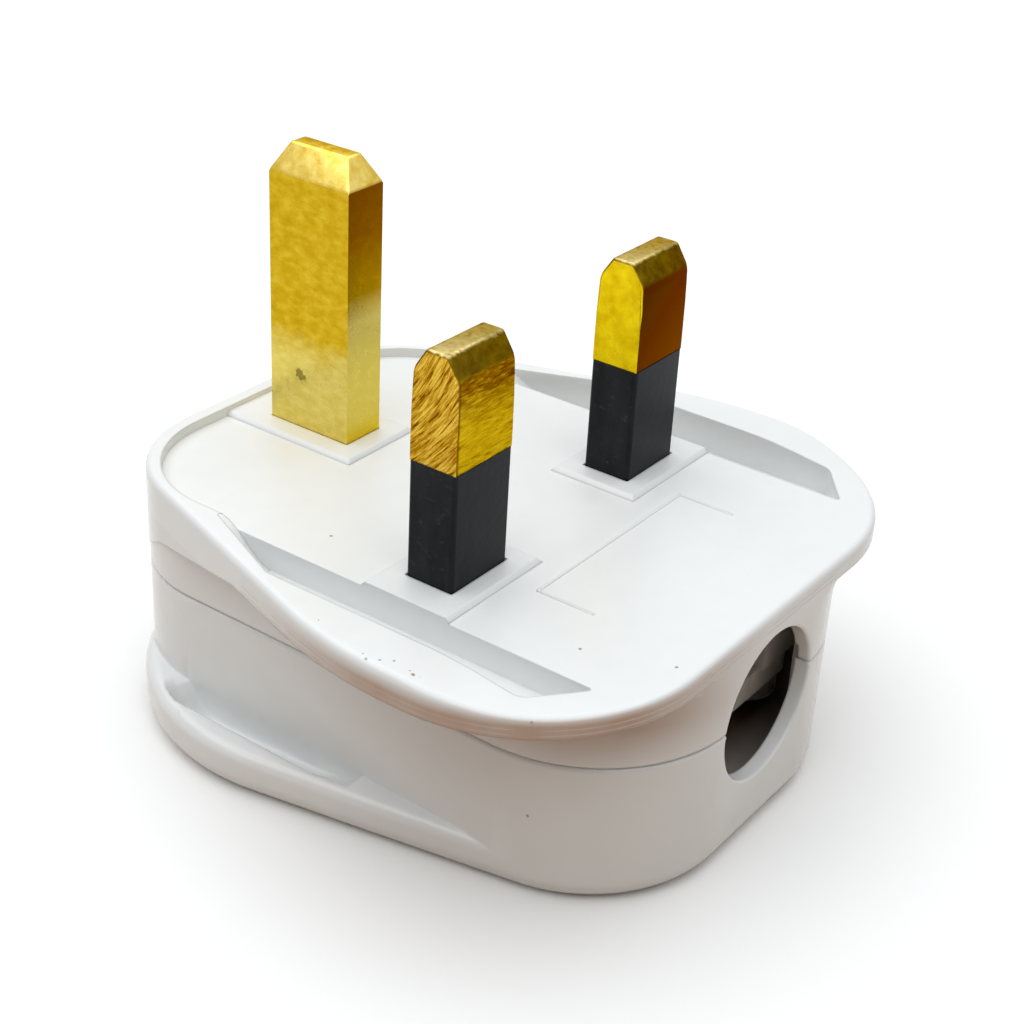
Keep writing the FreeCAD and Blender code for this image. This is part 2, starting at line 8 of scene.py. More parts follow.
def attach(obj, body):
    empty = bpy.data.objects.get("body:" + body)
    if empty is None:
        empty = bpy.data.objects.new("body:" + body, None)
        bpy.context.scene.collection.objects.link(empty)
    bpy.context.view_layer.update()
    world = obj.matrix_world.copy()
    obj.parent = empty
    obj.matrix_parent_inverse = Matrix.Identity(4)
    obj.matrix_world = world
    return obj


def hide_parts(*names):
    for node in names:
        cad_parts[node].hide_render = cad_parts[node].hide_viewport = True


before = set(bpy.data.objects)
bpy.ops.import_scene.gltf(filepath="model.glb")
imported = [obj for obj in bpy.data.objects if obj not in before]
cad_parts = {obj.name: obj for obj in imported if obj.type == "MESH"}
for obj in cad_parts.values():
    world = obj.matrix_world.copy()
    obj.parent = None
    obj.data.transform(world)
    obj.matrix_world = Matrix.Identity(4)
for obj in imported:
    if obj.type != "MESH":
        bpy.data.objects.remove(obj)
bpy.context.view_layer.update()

MM = 0.001


# Front moulding: the white thermoset shell that carries the pins, pressed in a polished tool.
# Its face has a shallow recessed floor, low pads round the pins, and a rim over two side pockets.
# Sharp arrises of the tool come out slightly rounded; the inside is left dull, and its dark brown colour is
# painted shade.

body_half = 17.4
cable_end = -20.4
earth_end = 30.8
cable_corner = 12.0
earth_corner = 10.2
inner_depth = 1.3
inner_floor = 2.1
inner_ceiling = 17.45
bore_radius = 6.0
bore_height = 11.4
front_bore_roll = 0.25
on_end = 0.01
on_bore = 0.02
weld_reach = 0.0005
arris_angle = 24
face_arris_roll = 0.3
rim_strip = (21.4, 21.6)
corner_across = (13.0, 25.0)
corner_along = (-9.8, -22.2)
corner_limit = (1.15, 1.3)
tool_lines = (18.3, 18.72)
tool_line_half = 0.07
tool_line_depth = 0.03
# Painted reflection and shade: a brown band on the sides under the flange, strongest near the live side of
# the cable end.
reflection_centre = (-20.0, -11.0, 17.0)
reflection_reach = (8.5, 21.0)
reflection_rise = (11.8, 15.2)
reflection_fade = (19.9, 19.0)
below_flange = (17.2, 17.0)
reflected_brown = (0.43, 0.28, 0.195)
grain_brown = (0.14, 0.10, 0.07)
dirt_brown = (0.13, 0.085, 0.05)
dirt_places = [
    (-24.75, -3.1, 20.3, 0.17), (-24.35, -3.9, 20.4, 0.13), (-23.8, -4.7, 20.4, 0.1),
    (-24.2, -6.6, 20.3, 0.19), (-24.6, -4.6, 20.3, 0.1), (-24.0, -6.2, 20.4, 0.08),
    (-24.5, -2.6, 20.4, 0.08), (-24.1, -7.1, 20.4, 0.09), (-23.3, 2.3, 20.4, 0.08),
    (-13.2, 10.0, 19.6, 0.15), (-13.6, -12.5, 19.6, 0.13), (-11.2, -18.7, 19.6, 0.14),
    (-17.2, -11.6, 7.2, 0.16),
]
# Painted light and shade inside the shells: a paler grey near the cable end and the face, dark brown deeper
# in.
inside_painted_light_grey = (0.62, 0.58, 0.54)
inside_near_end = (-14.0, -18.5)
inside_near_face = (10.5, 13.5)
UP = (0, 0, 1)


def wall_depth(x, y):
    """Distance in from the outside of the walls, in millimetres."""
    near_cable = y < 0
    radius = cable_corner if near_cable else earth_corner
    end_gap = y - cable_end if near_cable else earth_end - y
    side_gap = body_half - abs(x)
    if end_gap < radius and side_gap < radius:
        return radius - math.hypot(radius - end_gap, radius - side_gap)
    return min(end_gap, side_gap)


def is_inside(centre):
    """True for a place on the dull inner side of a moulding."""
    x, y, z = centre/MM
    return wall_depth(x, y) > inner_depth and inner_floor < z < inner_ceiling


def on_bore_edge(vert):
    """True for a corner on the outer edge of the cable entry."""
    x, y, z = vert.co/MM
    off_circle = abs(math.hypot(x, z - bore_height) - bore_radius)
    return abs(y - cable_end) < on_end and off_circle < on_bore


def shade_by_angle(work, degrees):
    """Smooth shading that breaks at edges sharper than an angle."""
    for face in work.faces:
        face.smooth = True
    for edge in work.edges:
        edge.smooth = edge.calc_face_angle(0.0) < math.radians(degrees)


def merged_copy(node, name):
    """The solid's own surface as one connected mesh, smooth except at its arrises."""
    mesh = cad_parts[node].data.copy()
    mesh.name = name
    mesh.materials.clear()
    work = bmesh.new()
    work.from_mesh(mesh)
    bmesh.ops.remove_doubles(work, verts=work.verts, dist=weld_reach*MM)
    bmesh.ops.dissolve_degenerate(work, edges=work.edges, dist=weld_reach*MM)
    shade_by_angle(work, arris_angle)
    work.to_mesh(mesh)
    work.free()
    piece = bpy.data.objects.new(name, mesh)
    bpy.context.scene.collection.objects.link(piece)
    return piece


def moulding(node, name, bore_roll):
    """A white shell with the edge of its half of the cable entry rolled over and its inside dull, in painted
    shade.
    """
    piece = merged_copy(node, name)
    work = bmesh.new()
    work.from_mesh(piece.data)
    end_faces = [face for face in work.faces
                 if all(abs(vert.co.y/MM - cable_end) < on_end for vert in face.verts)]
    bmesh.ops.dissolve_faces(work, faces=end_faces, use_verts=False)
    bore_edges = [edge for edge in work.edges if all(on_bore_edge(vert) for vert in edge.verts)]
    bmesh.ops.bevel(work, geom=bore_edges, offset=bore_roll*MM, offset_type="OFFSET", segments=4,
                    profile=0.5, affect="EDGES", material=-1, clamp_overlap=True)
    shade_by_angle(work, arris_angle)
    for face in work.faces:
        face.material_index = 1 if is_inside(face.calc_center_median()) else 0
    work.to_mesh(piece.data)
    work.free()
    piece.data.materials.append(housing_white)
    piece.data.materials.append(housing_inside_shaded)
    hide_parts(node)
    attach(piece, "root")
    return piece


def set_socket(tree, socket, value):
    """Set one input: a plain number or colour, or an output socket of another node."""
    if isinstance(value, bpy.types.NodeSocket):
        tree.links.new(value, socket)
    elif socket.type == "RGBA":
        socket.default_value = tuple(value) + (1.0,)
    else:
        socket.default_value = value


def add_node(tree, kind, **values):
    """A shader node with its input sockets set or linked by name."""
    node = tree.nodes.new(kind)
    for key, value in values.items():
        set_socket(tree, node.inputs[key], value)
    return node


def blank_material(name):
    """Material with only its output and one surface shader."""
    material = bpy.data.materials.new(name)
    material.use_nodes = True
    tree = material.node_tree
    return material, tree, tree.nodes["Principled BSDF"]


def object_point(tree, scale=(1, 1, 1), turn=(0, 0, 0)):
    """Object coordinates in millimetres, stretched and turned."""
    place = tree.nodes.new("ShaderNodeTexCoord").outputs["Object"]
    mapping = add_node(tree, "ShaderNodeMapping", Vector=place)
    mapping.inputs["Scale"].default_value = [s/MM for s in scale]
    mapping.inputs["Rotation"].default_value = [math.radians(a) for a in turn]
    return mapping.outputs["Vector"]


def noise(tree, point, scale, detail=3.0, rough=0.55):
    """Soft clouds, 0 to 1."""
    node = add_node(tree, "ShaderNodeTexNoise", Vector=point, Scale=scale, Detail=detail, Roughness=rough)
    return node.outputs["Fac"]


def ramp(tree, value, stops):
    """Colours along a value, from (position, colour) stops."""
    node = add_node(tree, "ShaderNodeValToRGB", Fac=value)
    elements = node.color_ramp.elements
    while len(elements) < len(stops):
        elements.new(0.5)
    for element, (position, colour) in zip(elements, stops):
        element.position = position
        element.color = tuple(colour) + (1.0,)
    return node.outputs["Color"]


def span(tree, value, low, high, to_low=0.0, to_high=1.0):
    """Value mapped from one range to another and held at the ends."""
    node = tree.nodes.new("ShaderNodeMapRange")
    node.clamp = True
    for key, number in (("Value", value), ("From Min", low), ("From Max", high),
                        ("To Min", to_low), ("To Max", to_high)):
        set_socket(tree, node.inputs[key], number)
    return node.outputs["Result"]


def mixed(tree, share, first, second):
    """Colour between two colours."""
    node = tree.nodes.new("ShaderNodeMix")
    node.data_type = "RGBA"
    set_socket(tree, node.inputs[0], share)
    set_socket(tree, node.inputs[6], first)
    set_socket(tree, node.inputs[7], second)
    return node.outputs[2]


def math_of(tree, operation, first, second=0.0):
    """One arithmetic step on sockets or numbers."""
    node = tree.nodes.new("ShaderNodeMath")
    node.operation = operation
    set_socket(tree, node.inputs[0], first)
    set_socket(tree, node.inputs[1], second)
    return node.outputs["Value"]


def product(tree, first, *others):
    """Several shares multiplied together."""
    total = first
    for other in others:
        total = math_of(tree, "MULTIPLY", total, other)
    return total


def vector_measure(tree, operation, first, second):
    """One number from two vectors: a distance or a dot product."""
    node = tree.nodes.new("ShaderNodeVectorMath")
    node.operation = operation
    tree.links.new(first, node.inputs[0])
    node.inputs[1].default_value = second
    return node.outputs["Value"]


def facing(tree, direction, low=0.75, high=0.9, both_ways=False):
    """1 on faces that point along a direction, or either way along it, 0 elsewhere."""
    normal = tree.nodes.new("ShaderNodeTexCoord").outputs["Normal"]
    share = vector_measure(tree, "DOT_PRODUCT", normal, direction)
    if both_ways:
        share = math_of(tree, "ABSOLUTE", share)
    return span(tree, share, low, high)


def bumped(tree, height, depth, under=None):
    """Surface normal with a height pattern of the given depth in millimetres."""
    node = add_node(tree, "ShaderNodeBump", Strength=1.0, Distance=depth*MM, Height=height)
    if under is not None:
        tree.links.new(under, node.inputs["Normal"])
    return node.outputs["Normal"]


def rounded_arris(tree, radius):
    """Surface normal that softens sharp arrises."""
    node = add_node(tree, "ShaderNodeBevel", Radius=radius*MM)
    node.samples = 12
    return node.outputs["Normal"]


def spots(tree, point, places):
    """1 on small ragged spots at (x, y, z, radius) places, 0 elsewhere."""
    ragged = span(tree, noise(tree, point, 2.6, 3.0), 0.3, 0.7, -0.5, 0.5)
    total = 0.0
    for x, y, z, radius in places:
        gap = vector_measure(tree, "DISTANCE", point, (x, y, z))
        reach = math_of(tree, "ADD", gap, product(tree, ragged, radius))
        total = math_of(tree, "MAXIMUM", total, span(tree, reach, 0.6*radius, radius, 1.0, 0.0))
    return total


def specks(tree, point, scale, size, chosen):
    """1 on small round specks strewn at random, 0 elsewhere."""
    grain = add_node(tree, "ShaderNodeTexVoronoi", Vector=point, Scale=scale)
    near = span(tree, grain.outputs["Distance"], *size, 1.0, 0.0)
    return product(tree, near, span(tree, grain.outputs["Color"], *chosen))


def flange_outside(tree, split):
    """1 on the outer edge of the flange beside and beyond the pockets, 0 inside them."""
    across = math_of(tree, "ABSOLUTE", split.outputs["X"])
    slanted = math_of(tree, "ADD", span(tree, across, *corner_across, -1.0, 2.0),
                      span(tree, split.outputs["Y"], *corner_along, -1.0, 3.0))
    return math_of(tree, "MAXIMUM", span(tree, across, *rim_strip), span(tree, slanted, *corner_limit))


def hair_lines_and_highlight(tree, point, split):
    """1 on the fine level lines left by the tool, coming and going along their length; they carry a bump and
    a painted highlight.
    """
    total = 0.0
    for level in tool_lines:
        off = math_of(tree, "ABSOLUTE", math_of(tree, "SUBTRACT", split.outputs["Z"], level))
        total = math_of(tree, "MAXIMUM", total, span(tree, off, 0.0, tool_line_half, 1.0, 0.0))
    broken = span(tree, noise(tree, point, 0.16, 2.0), 0.38, 0.6)
    return product(tree, total, broken, flange_outside(tree, split))


def flange_reflection_and_shade(tree, point, split):
    """Share of brown painted reflection and shade on the sides under the flange, thickest at the live side of
    the cable end.
    """
    band = product(tree, span(tree, split.outputs["Z"], *reflection_rise, 0.25, 1.0),
                   span(tree, split.outputs["Z"], *reflection_fade))
    gap = vector_measure(tree, "DISTANCE", point, reflection_centre)
    near = span(tree, gap, *reflection_reach, 1.0, 0.10)
    patchy = span(tree, noise(tree, point, 0.25, 3.0), 0.25, 0.7, 0.85, 1.0)
    outside = math_of(tree, "MAXIMUM", flange_outside(tree, split),
                      span(tree, split.outputs["Z"], *below_flange))
    return product(tree, band, near, patchy, outside, facing(tree, UP, 0.85, 0.5))


def white_moulding(name):
    """Polished white thermoset with a faint flow pattern, dark grains and dirt on the worn rim, a brown
    painted reflection and shade under the flange, and painted highlights on the tool lines.
    """
    material, tree, shader = blank_material(name)
    point = object_point(tree)
    cloud = noise(tree, point, 0.5, 5.0)
    white = ramp(tree, cloud, [(0.35, (0.785, 0.798, 0.802)), (0.65, (0.80, 0.812, 0.814))])
    grains = specks(tree, point, 0.34, (0.03, 0.045), (0.78, 0.80))
    colour = mixed(tree, product(tree, grains, 0.55), white, grain_brown)
    colour = mixed(tree, product(tree, spots(tree, point, dirt_places), 0.75), colour, dirt_brown)
    split = add_node(tree, "ShaderNodeSeparateXYZ", Vector=point)
    # Painted reflection and shade: brown on the sides under the flange.
    colour = mixed(tree, flange_reflection_and_shade(tree, point, split), colour, reflected_brown)
    lines = hair_lines_and_highlight(tree, point, split)
    # Painted highlight: a pale colour along the tool lines.
    colour = mixed(tree, product(tree, lines, 0.5), colour, (0.80, 0.70, 0.62))
    tree.links.new(colour, shader.inputs["Base Color"])
    wipe = span(tree, noise(tree, point, 0.3, 3.0), 0.3, 0.7, 0.12, 0.17)
    scuffed = product(tree, facing(tree, UP), 0.22)
    tree.links.new(math_of(tree, "ADD", wipe, scuffed), shader.inputs["Roughness"])
    soft = rounded_arris(tree, face_arris_roll)
    tree.links.new(bumped(tree, lines, tool_line_depth, soft), shader.inputs["Normal"])
    shader.inputs["IOR"].default_value = 1.5
    return material


def dull_inside_painted_shade(name):
    """The unpolished inside of the shells in painted shade: dark brown deep inside, with painted light as a
    paler grey towards the cable end and the face.
    """
    material, tree, shader = blank_material(name)
    point = object_point(tree)
    cloud = noise(tree, point, 0.4, 4.0)
    # Painted shade deep inside; painted light as a paler grey towards the cable end and the face.
    deep = ramp(tree, cloud, [(0.35, (0.13, 0.08, 0.055)), (0.65, (0.20, 0.13, 0.095))])
    split = add_node(tree, "ShaderNodeSeparateXYZ", Vector=point)
    near = math_of(tree, "MAXIMUM", span(tree, split.outputs["Y"], *inside_near_end),
                   span(tree, split.outputs["Z"], *inside_near_face))
    tree.links.new(mixed(tree, near, deep, inside_painted_light_grey), shader.inputs["Base Color"])
    tree.links.new(span(tree, cloud, 0.3, 0.7, 0.55, 0.75), shader.inputs["Roughness"])
    tree.links.new(bumped(tree, noise(tree, point, 1.8, 3.0), 0.02), shader.inputs["Normal"])
    return material


housing_white = white_moulding("moulded_white")
housing_inside_shaded = dull_inside_painted_shade("moulded_inside_painted_shade")
moulding("base", "front_moulding", front_bore_roll)


# Panel line: a low moulded bead round a bare panel on the face, between the power pins and the cable end.
# It is part of the front moulding's pressing and fades out on its two short sides.

panel_half = 9.4
panel_start = -6.0
panel_stop = -10.8
face_floor = 19.6
bead_width = 0.32
bead_height = 0.11
bead_faded_height = 0.01
bead_root = 0.1
bead_profile = ((-0.5, -bead_root), (-0.5, 0.0), (-0.25, bead_height),
                (0.25, bead_height), (0.5, 0.0), (0.5, -bead_root))


def bead(work, start, end, end_height):
    """Straight bead with sloping sides between two places on the face, sinking to an end height."""
    run = Vector((end[0] - start[0], end[1] - start[1], 0))
    across = Vector((-run.y, run.x, 0)).normalized()*bead_width
    foot = Vector((start[0], start[1], face_floor))
    section = work.faces.new([work.verts.new((foot + across*side + Vector((0, 0, rise)))*MM)
                              for side, rise in bead_profile])
    drawn = bmesh.ops.extrude_face_region(work, geom=[section])["geom"]
    for vert in [part for part in drawn if isinstance(part, bmesh.types.BMVert)]:
        vert.co += run*MM
        if vert.co.z > (face_floor + bead_height/2)*MM:
            vert.co.z = (face_floor + end_height)*MM


def finished_piece(work, name, material):
    """Object made of a worked mesh, with one material."""
    mesh = bpy.data.meshes.new(name)
    work.to_mesh(mesh)
    work.free()
    mesh.materials.append(material)
    piece = bpy.data.objects.new(name, mesh)
    bpy.context.scene.collection.objects.link(piece)
    return piece


work = bmesh.new()
bead(work, (-panel_half, panel_start), (panel_half, panel_start), bead_height)
for side in (-1, 1):
    corner = (side*panel_half, panel_start + bead_width/4)
    bead(work, corner, (side*panel_half, panel_stop), bead_faded_height)
bmesh.ops.recalc_face_normals(work, faces=work.faces)
panel_line = finished_piece(work, "panel_line", housing_white)
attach(panel_line, "root")


# Pocket ends: the floor of each side pocket rises to the rim in a smooth ramp where the pocket narrows.
# They are part of the front moulding's pressing.

pocket_floor = 17.4
pocket_side = 17.0
pocket_tip = 17.44
pocket_tip_width = 0.35
pocket_splay = 0.45
rise_start = 12.5
rise_length = pocket_tip - rise_start
rise_top = 20.38
rise_strips = 16
rise_root = 0.1
block_size = 1.0
cut_reach = 1e-8
Y_AXIS = (0, 1, 0)


def smooth_share(value, low, high):
    """0 below a range, 1 above it, with a smooth change between."""
    share = min(max((value - low)/(high - low), 0.0), 1.0)
    return share*share*(3 - 2*share)


def set_on_ramp(vert):
    """Move a corner of a cut block to the ramp: its top along the rise, its outer side into the rim."""
    x, y, z = vert.co/MM
    under = pocket_floor - rise_root
    if abs(x) > pocket_side + block_size/2:
        width = pocket_tip_width + (pocket_tip - y)*pocket_splay + rise_root
        vert.co.x = math.copysign(pocket_side + width, x)*MM
    if z > under + block_size/2:
        vert.co.z = (pocket_floor + (rise_top - pocket_floor)*smooth_share(y, rise_start, pocket_tip))*MM


work = bmesh.new()
for side in (-1, 1):
    middle = Vector((side*(pocket_side + block_size/2), rise_start + rise_length/2,
                     pocket_floor - rise_root + block_size/2))
    block = Matrix.Translation(middle*MM) @ Matrix.Diagonal((MM*block_size, MM*rise_length, MM*block_size, 1))
    bmesh.ops.create_cube(work, size=1.0, matrix=block)
for strip in range(1, rise_strips):
    bmesh.ops.bisect_plane(work, geom=work.verts[:] + work.edges[:] + work.faces[:], dist=cut_reach,
                           plane_co=(0, (rise_start + rise_length*strip/rise_strips)*MM, 0), plane_no=Y_AXIS)
for vert in work.verts:
    set_on_ramp(vert)
bmesh.ops.recalc_face_normals(work, faces=work.faces)
shade_by_angle(work, arris_angle)
pocket_ends = finished_piece(work, "pocket_ends", housing_white)
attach(pocket_ends, "root")


# Back moulding: the matching white shell that closes the plug, with the finger lip at its back.
# It is pressed from the same compound and meets the front moulding at a fine open seam.
# The finger hollows lie behind a broad soft crest of the lip and run out in a steep rounded tip.

back_bore_roll = 0.55
lip_cable_level = 3.2
lip_slope = 0.02637
lip_roll = 1.0
lip_corner = 17.0
lip_corner_place = (5.15, 14.2)
lip_side_angle = math.radians(10.9)
lip_inset = 0.4
lip_stop = 26.5
lip_lowest = 1.4
lip_highest = 4.6
lip_margin = 0.1
lip_outward_limit = 0.05
lip_downward_limit = -0.1
lip_arris_angle = 60
lip_weld = 0.01
hollow_level = 2.75
hollow_fall = 0.05155
hollow_start = 3.0
hollow_sink = 0.4
hollow_axis = 0.6
hollow_tip_axis = 1.6
hollow_inner = 2.1
hollow_tip_inner = 1.6
hollow_outer = 2.4
hollow_tip_outer = 1.4
hollow_narrows = 17.4
hollow_turn = 19.4
hollow_tip = 22.4
blend_start = 4.0
blend_stop = 8.0
side_cuts = (0.06, 0.15, 0.28, 0.45, 0.65, 0.9, 1.2, 1.6, 2.0, 2.4, 2.8, 3.2, 3.6, 4.0)
cross_cut_gap = 0.5
cross_cuts = 32
tip_cut_start = 20.0
tip_cut_gap = 0.14
tip_cuts = 20
X_AXIS = (1, 0, 0)


def on_lip(face):
    """True for the hollows' floors and ends and the flat top of the lip beside the walls."""
    x, y, z = face.calc_center_median()/MM
    normal = face.normal
    outward = normal.x*math.copysign(1.0, x)
    along = hollow_start - lip_margin < y < lip_stop
    beside = abs(x) > body_half - lip_inset and along and lip_lowest < z < lip_highest
    level = max(outward, normal.y) < lip_outward_limit and normal.z > lip_downward_limit
    return beside and level


def edge_roll(x, y):
    """Drop of the lip's top at its rounded outer edge."""
    from_x = abs(x) - lip_corner_place[0]
    from_y = y - lip_corner_place[1]
    if from_y > -from_x*math.tan(lip_side_angle):
        inset = lip_corner - math.hypot(from_x, from_y)
    else:
        inset = lip_corner - from_x*math.cos(lip_side_angle) + from_y*math.sin(lip_side_angle)
    short = min(max(1 - inset/lip_roll, 0.0), 1.0)
    return lip_roll*(1 - math.sqrt(1 - short**2))


def lip_height(x, y):
    """Height of the lip's top: a broad crest outside, the finger hollow beside the wall."""
    top = lip_cable_level + (y - cable_end)*lip_slope
    depth = top - hollow_level + hollow_sink + (y - hollow_start)*hollow_fall
    closing = smooth_share(y, hollow_narrows, hollow_tip)
    aside = -wall_depth(x, y) - hollow_axis - closing*(hollow_tip_axis - hollow_axis)
    if aside < 0:
        half_width = hollow_inner + closing*(hollow_tip_inner - hollow_inner)
    else:
        half_width = hollow_outer + closing*(hollow_tip_outer - hollow_outer)
    past_turn = max(y - hollow_turn, 0.0)/(hollow_tip - hollow_turn)
    reach = min(math.hypot(aside/half_width, past_turn), 1.0)
    hollow = depth*(1 + math.cos(math.pi*reach))/2
    return top - max(hollow, edge_roll(x, y))


def lip_cuts():
    """Places and directions of the cuts that give the lip enough corners to be shaped."""
    for side in (-1, 1):
        for offset in side_cuts:
            yield (side*(body_half + offset), 0, 0), X_AXIS
    for step in range(cross_cuts):
        yield (0, blend_start + step*cross_cut_gap, 0), Y_AXIS
    for step in range(tip_cuts):
        yield (0, tip_cut_start + step*tip_cut_gap, 0), Y_AXIS


back_moulding = moulding("cover", "back_moulding", back_bore_roll)
work = bmesh.new()
work.from_mesh(back_moulding.data)
lip_faces = [face for face in work.faces if on_lip(face)]
lip_parts = set(lip_faces)
for face in lip_faces:
    lip_parts.update(face.edges)
    lip_parts.update(face.verts)
lip_parts = list(lip_parts)
for place, direction in lip_cuts():
    cut = bmesh.ops.bisect_plane(work, geom=lip_parts, dist=cut_reach, plane_co=Vector(place)*MM,
                                 plane_no=direction)
    lip_parts = cut["geom"]
lip_verts = [part for part in lip_parts if isinstance(part, bmesh.types.BMVert)]
lip_faces = [part for part in lip_parts if isinstance(part, bmesh.types.BMFace)]
for vert in lip_verts:
    x, y, z = vert.co/MM
    share = smooth_share(y, blend_start, blend_stop)
    vert.co.z = (z + share*(lip_height(x, y) - z))*MM
bmesh.ops.remove_doubles(work, verts=lip_verts, dist=lip_weld*MM)
lip_faces = [face for face in lip_faces if face.is_valid]
for edge in {edge for face in lip_faces for edge in face.edges}:
    edge.smooth = edge.calc_face_angle(0.0) < math.radians(lip_arris_angle)
work.to_mesh(back_moulding.data)
work.free()


# Earth pin: a plain bar of drawn yellow brass, chamfered at its tip and left bare.
# It is mottled, with one dark spot low on the wide side; its paler colour near the face and the brown high on
# its narrow side are painted reflection.

bare_above = 20.5
earth_roll = 0.2
bar_arris_angle = 31
flat_angle = 0.5
rolled_angle = 15
brass_sheen = (0.62, 0.40, 0.05)
earth_pale_reflection_height = (27.6, 30.4)
earth_span = (20.0, 43.0)
earth_stain = [(-2.0, 23.2, 24.7, 0.5), (-2.0, 22.95, 24.35, 0.4)]
stain_brown = (0.12, 0.085, 0.015)


def softened_bar(node, name, above, width):
    """A pin's solid with its outside arrises above one height rounded."""
    piece = merged_copy(node, name)
    work = bmesh.new()
    work.from_mesh(piece.data)
    bmesh.ops.dissolve_limit(work, angle_limit=math.radians(flat_angle), verts=work.verts, edges=work.edges)
    outside = [edge for edge in work.edges
               if min(vert.co.z for vert in edge.verts) > above*MM
               and edge.calc_face_angle(0.0) > math.radians(rolled_angle)]
    bmesh.ops.bevel(work, geom=outside, offset=width*MM, offset_type="OFFSET", segments=3,
                    profile=0.5, affect="EDGES", material=-1, clamp_overlap=True)
    shade_by_angle(work, bar_arris_angle)
    work.to_mesh(piece.data)
    work.free()
    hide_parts(node)
    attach(piece, "root")
    return piece


def bar_brass(name, colour_of, roughness, height_of=None, depth=0.0):
    """Drawn yellow brass with its own colouring, a fine grain and, if given, a coarser relief."""
    material, tree, shader = blank_material(name)
    point = object_point(tree)
    tree.links.new(colour_of(tree, point), shader.inputs["Base Color"])
    shader.inputs["Metallic"].default_value = 1.0
    set_socket(tree, shader.inputs["Specular Tint"], brass_sheen)
    worn = span(tree, noise(tree, point, 1.4, 5.0), 0.3, 0.7, roughness - 0.07, roughness + 0.09)
    tree.links.new(worn, shader.inputs["Roughness"])
    normal = bumped(tree, noise(tree, object_point(tree, (3, 3, 5)), 1.0, 2.0), 0.007)
    if height_of is not None:
        normal = bumped(tree, height_of(tree), depth, normal)
    tree.links.new(normal, shader.inputs["Normal"])
    return material


def axis_share(tree, point, axis, low, high):
    """0 at one place along an axis, 1 at another, in millimetres."""
    split = add_node(tree, "ShaderNodeSeparateXYZ", Vector=point)
    return span(tree, split.outputs[axis], low, high)


def ragged_height(tree, point, scale, detail, swing):
    """Height made uneven by clouds of up to a given swing, in millimetres."""
    split = add_node(tree, "ShaderNodeSeparateXYZ", Vector=point)
    return math_of(tree, "ADD", split.outputs["Z"], product(tree, noise(tree, point, scale, detail), swing))


def mottled(tree, point, scale, stops):
    """Brass colours in fine irregular clouds."""
    return ramp(tree, noise(tree, point, scale, 6.0, 0.62), stops)


def earth_colour(tree, point):
    """Ochre wide sides; painted reflection makes them pale below and the narrow side brown above and pale
    below; bright chamfers.
    """
    brushed = object_point(tree, (1.0, 0.8, 1.5))
    wide = mottled(tree, brushed, 1.1, [(0.30, (0.48, 0.29, 0.008)), (0.50, (0.58, 0.37, 0.014)),
                                        (0.70, (0.67, 0.46, 0.035))])
    # Painted reflection: paler brass low on the pin, near the white face.
    pale = mottled(tree, brushed, 1.1, [(0.30, (0.66, 0.51, 0.09)), (0.70, (0.79, 0.65, 0.18))])
    low = span(tree, ragged_height(tree, point, 0.5, 4.0, 4.0), *earth_pale_reflection_height, 1.0, 0.0)
    colour = mixed(tree, low, wide, pale)
    # Painted reflection: the narrow side brown high up, pale lower down.
    narrow = ramp(tree, axis_share(tree, point, "Z", *earth_span), [
        (0.0, (0.76, 0.57, 0.03)), (0.08, (0.74, 0.59, 0.11)), (0.30, (0.79, 0.64, 0.135)),
        (0.44, (0.80, 0.63, 0.16)), (0.54, (0.42, 0.24, 0.008)), (0.75, (0.24, 0.095, 0.001)),
        (0.92, (0.19, 0.065, 0.0005))])
    colour = mixed(tree, facing(tree, Y_AXIS, both_ways=True), colour, narrow)
    bright = mottled(tree, point, 1.2, [(0.35, (0.62, 0.43, 0.06)), (0.65, (0.80, 0.62, 0.17))])
    colour = mixed(tree, facing(tree, UP, 0.25, 0.45), colour, bright)
    return mixed(tree, product(tree, spots(tree, point, earth_stain), 0.7), colour, stain_brown)


earth_bar = softened_bar("earth_pin", "earth_bar", bare_above, earth_roll)
earth_bar.data.materials.append(bar_brass("earth_brass", earth_colour, 0.30))


# Neutral pin: a shorter brass bar, smooth and bright on its narrow sides, with painted brown reflection on
# its wide ones.
# Its rounded tip is olive, with a burr along the top whose pale colour is a painted highlight.

sleeve_top = 29.4
power_pin_roll = 0.25
burr_glint_height = (37.85, 38.05)
burr_glint_pale = (0.48, 0.39, 0.17)
brown_reflection_across = (8.0, 14.3)
brown_reflection_down = (36.5, 29.0)


def tip_colour(tree, point, colour):
    """The rounded tip of a power pin: olive shoulders and a burred land, pale with a painted highlight."""
    olive = mottled(tree, point, 1.0, [(0.35, (0.085, 0.047, 0.002)), (0.66, (0.165, 0.105, 0.005))])
    colour = mixed(tree, facing(tree, UP, 0.22, 0.42), colour, olive)
    # Painted highlight: a pale colour along the burred land at the top.
    burr = span(tree, ragged_height(tree, point, 2.2, 4.0, 0.5), *burr_glint_height)
    return mixed(tree, burr, colour, burr_glint_pale)


def neutral_colour(tree, point):
    """Bright yellow narrow sides; wide sides in painted reflection, from dark brown at the top to orange
    below.
    """
    yellow = mottled(tree, point, 0.8, [(0.34, (0.66, 0.43, 0.003)), (0.66, (0.85, 0.64, 0.008))])
    # Painted reflection: brown on the wide sides, darkest at the top.
    fade = math_of(tree, "ADD", product(tree, axis_share(tree, point, "X", *brown_reflection_across), 0.5),
                   product(tree, axis_share(tree, point, "Z", *brown_reflection_down), 0.5))
    brown = ramp(tree, fade, [(0.1, (0.078, 0.019, 0.0003)), (0.9, (0.165, 0.060, 0.0008))])
    colour = mixed(tree, facing(tree, Y_AXIS, 0.6, 0.85, both_ways=True), yellow, brown)
    return tip_colour(tree, point, colour)


